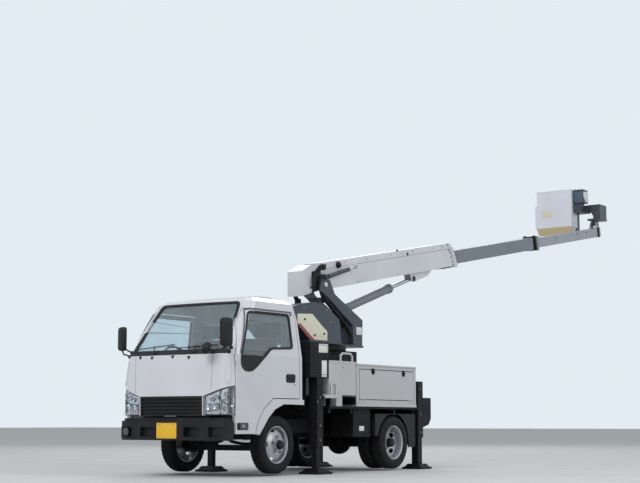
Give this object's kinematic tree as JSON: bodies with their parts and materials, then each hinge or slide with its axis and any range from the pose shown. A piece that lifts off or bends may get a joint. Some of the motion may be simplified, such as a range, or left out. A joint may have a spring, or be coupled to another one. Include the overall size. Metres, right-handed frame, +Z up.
{
  "type": "cherry picker truck",
  "caption": "Light cab-over truck on its jacks with a turntable, a telescopic boom on a lift cylinder and a work bucket that stays level.",
  "frame": {"origin": "on the ground on the centre plane, under the front axle", "axes": "+X to the vehicle's left, +Y to its rear, +Z up"},
  "size_m": [2.0799, 12.9515, 5.12],
  "materials": {
    "cab_paint": "gloss cab paint",
    "body_paint": "pale grey-white body paint",
    "chassis_paint": "black chassis paint",
    "jack_paint": "black paint",
    "turret_paint": "dark blue-grey paint",
    "boom_paint": "off-white paint",
    "boom_mid_paint": "grey paint",
    "boom_outer_paint": "light grey paint",
    "bucket_shell": "moulded insulating shell",
    "rim_paint": "silver rim paint",
    "tyre_rubber": "road tyre",
    "window_glass": "laminated glass",
    "lamp_glass": "clear lamp cover",
    "tail_lens": "red lens",
    "black_plastic": "black moulding",
    "seat_cloth": "seat cloth",
    "dark_iron": "cast iron",
    "rod_chrome": "hard chrome rod",
    "bright_steel": "bare steel"
  },
  "bodies": {
    "chassis": {"chassis_frame": "chassis_paint", "front_axle": "chassis_paint", "rear_axle": "chassis_paint", "leaf_springs": "chassis_paint", "engine_block": "dark_iron", "prop_shaft": "chassis_paint", "exhaust": "bright_steel", "front_bumper": "black_plastic", "subframe": "chassis_paint", "deck": "chassis_paint", "side_boxes": "body_paint", "side_tanks": "chassis_paint", "mudguards": "black_plastic", "outrigger_front": "jack_paint", "outrigger_rear": "jack_paint", "toolbox_left": "body_paint", "toolbox_right": "body_paint", "tail_lamps": "tail_lens"},
    "cab": {"cab_shell": "cab_paint", "cab_glass": "window_glass", "headlamps": "lamp_glass", "grille": "black_plastic", "seats": "seat_cloth", "dashboard": "black_plastic", "mirrors": "black_plastic"},
    "cab_door_left": {"door_left": "cab_paint", "door_glass_left": "window_glass"},
    "cab_door_right": {"door_right": "cab_paint", "door_glass_right": "window_glass"},
    "locker_door_left": {"toolbox_door_left": "body_paint"},
    "locker_door_right": {"toolbox_door_right": "body_paint"},
    "steer_knuckle_left": {"knuckle_left": "dark_iron"},
    "steer_knuckle_right": {"knuckle_right": "dark_iron"},
    "front_wheel_left": {"front_tyre_left": "tyre_rubber", "front_rim_left": "rim_paint"},
    "front_wheel_right": {"front_tyre_right": "tyre_rubber", "front_rim_right": "rim_paint"},
    "rear_wheels_left": {"rear_tyres_left": "tyre_rubber", "rear_rims_left": "rim_paint"},
    "rear_wheels_right": {"rear_tyres_right": "tyre_rubber", "rear_rims_right": "rim_paint"},
    "jack_front_left": {"front_jack_leg_left": "jack_paint"},
    "jack_front_right": {"front_jack_leg_right": "jack_paint"},
    "jack_rear_left": {"rear_jack_leg_left": "jack_paint"},
    "jack_rear_right": {"rear_jack_leg_right": "jack_paint"},
    "turret": {"turret_frame": "turret_paint", "turret_cover": "turret_paint"},
    "boom_lower": {"boom_base": "boom_paint"},
    "boom_middle": {"boom_mid": "boom_mid_paint"},
    "boom_upper": {"boom_outer": "boom_outer_paint"},
    "lift_cylinder": {"lift_barrel": "boom_mid_paint"},
    "lift_cylinder_rod": {"lift_rod": "rod_chrome"},
    "level_cylinder": {"level_barrel": "chassis_paint"},
    "level_cylinder_rod": {"level_rod": "rod_chrome"},
    "tip_carrier": {"tip_bracket": "boom_outer_paint"},
    "work_platform": {"swing_arm": "turret_paint", "bucket": "bucket_shell"}
  },
  "joints": [
    {"name": "cab_tilt", "type": "hinge", "parent": "chassis", "child": "cab", "pos_m": [0, -1.04, 0.64], "axis": [1, 0, 0], "range_deg": [0, 40]},
    {"name": "cab_door_left_hinge", "type": "hinge", "parent": "cab", "child": "cab_door_left", "pos_m": [0.838, -0.885, 1], "axis": [0, 0, -1], "range_deg": [0, 65]},
    {"name": "cab_door_right_hinge", "type": "hinge", "parent": "cab", "child": "cab_door_right", "pos_m": [-0.838, -0.885, 1], "axis": [0, 0, 1], "range_deg": [0, 65]},
    {"name": "locker_door_left_hinge", "type": "hinge", "parent": "chassis", "child": "locker_door_left", "pos_m": [0.904, 2.31, 0.94], "axis": [0, 1, 0], "range_deg": [0, 90]},
    {"name": "locker_door_right_hinge", "type": "hinge", "parent": "chassis", "child": "locker_door_right", "pos_m": [-0.904, 2.31, 0.94], "axis": [0, -1, 0], "range_deg": [0, 90]},
    {"name": "steer_left", "type": "hinge", "parent": "chassis", "child": "steer_knuckle_left", "pos_m": [0.59, 0, 0.37], "axis": [0, 0, 1], "range_deg": [-35, 35]},
    {"name": "steer_right", "type": "hinge", "parent": "chassis", "child": "steer_knuckle_right", "pos_m": [-0.59, 0, 0.37], "axis": [0, 0, 1], "range_deg": [-35, 35]},
    {"name": "front_wheel_left_spin", "type": "hinge", "parent": "steer_knuckle_left", "child": "front_wheel_left", "pos_m": [0.7, 0, 0.37], "axis": [1, 0, 0], "continuous": true},
    {"name": "front_wheel_right_spin", "type": "hinge", "parent": "steer_knuckle_right", "child": "front_wheel_right", "pos_m": [-0.7, 0, 0.37], "axis": [1, 0, 0], "continuous": true},
    {"name": "rear_wheels_left_spin", "type": "hinge", "parent": "chassis", "child": "rear_wheels_left", "pos_m": [0.71, 2.5, 0.37], "axis": [1, 0, 0], "continuous": true},
    {"name": "rear_wheels_right_spin", "type": "hinge", "parent": "chassis", "child": "rear_wheels_right", "pos_m": [-0.71, 2.5, 0.37], "axis": [1, 0, 0], "continuous": true},
    {"name": "jack_front_left_slide", "type": "slide", "parent": "chassis", "child": "jack_front_left", "axis": [0, 0, 1], "range_m": [0, 0.26]},
    {"name": "jack_rear_left_slide", "type": "slide", "parent": "chassis", "child": "jack_rear_left", "axis": [0, 0, 1], "range_m": [0, 0.26]},
    {"name": "jack_front_right_slide", "type": "slide", "parent": "chassis", "child": "jack_front_right", "axis": [0, 0, 1], "range_m": [0, 0.26]},
    {"name": "jack_rear_right_slide", "type": "slide", "parent": "chassis", "child": "jack_rear_right", "axis": [0, 0, 1], "range_m": [0, 0.26]},
    {"name": "turret_slew", "type": "hinge", "parent": "chassis", "child": "turret", "pos_m": [0, 1.95, 1.675], "axis": [0, 0, 1], "continuous": true},
    {"name": "boom_lift", "type": "hinge", "parent": "turret", "child": "boom_lower", "pos_m": [0, 1.9, 2.5], "axis": [1, 0, 0], "range_deg": [-10, 68]},
    {"name": "boom_middle_slide", "type": "slide", "parent": "boom_lower", "child": "boom_middle", "axis": [0, 0.9839, 0.1788], "range_m": [-2.9, 0]},
    {"name": "boom_upper_slide", "type": "slide", "parent": "boom_middle", "child": "boom_upper", "axis": [0, 0.9839, 0.1788], "range_m": [-2.61, 0]},
    {"name": "tip_level", "type": "hinge", "parent": "boom_upper", "child": "tip_carrier", "pos_m": [0, 11.37376, 4.45138], "axis": [1, 0, 0], "range_deg": [-69, 11]},
    {"name": "platform_swing", "type": "hinge", "parent": "tip_carrier", "child": "work_platform", "pos_m": [0, 11.49, 4.6], "axis": [0, 0, -1], "range_deg": [0, 180]},
    {"name": "lift_cylinder_pivot", "type": "hinge", "parent": "turret", "child": "lift_cylinder", "pos_m": [0, 2.1, 2.06], "axis": [1, 0, 0], "range_deg": [-10, 65]},
    {"name": "lift_cylinder_slide", "type": "slide", "parent": "lift_cylinder", "child": "lift_cylinder_rod", "axis": [0, 0.9535, 0.3015], "range_m": [-0.081, 0.531]},
    {"name": "level_cylinder_pivot", "type": "hinge", "parent": "turret", "child": "level_cylinder", "pos_m": [0.222, 1.8662, 2.59651], "axis": [1, 0, 0], "range_deg": [-12, 73]},
    {"name": "level_cylinder_slide", "type": "slide", "parent": "level_cylinder", "child": "level_cylinder_rod", "axis": [0, 0.9608, 0.2772], "range_m": [-0.104, 0.018]}
  ],
  "couplings": [
    {"joint": "steer_right", "follows": "steer_left", "ratio": 1},
    {"joint": "boom_upper_slide", "follows": "boom_middle_slide", "ratio": 0.89655},
    {"joint": "tip_level", "follows": "boom_lift", "ratio": -1},
    {"joint": "lift_cylinder_pivot", "follows": "boom_lift", "ratio": 0.94},
    {"joint": "lift_cylinder_slide", "follows": "boom_lift", "m_per_rad": 0.445},
    {"joint": "level_cylinder_pivot", "follows": "boom_lift", "ratio": 1.06},
    {"joint": "level_cylinder_slide", "follows": "boom_lift", "m_per_rad": -0.085}
  ]
}
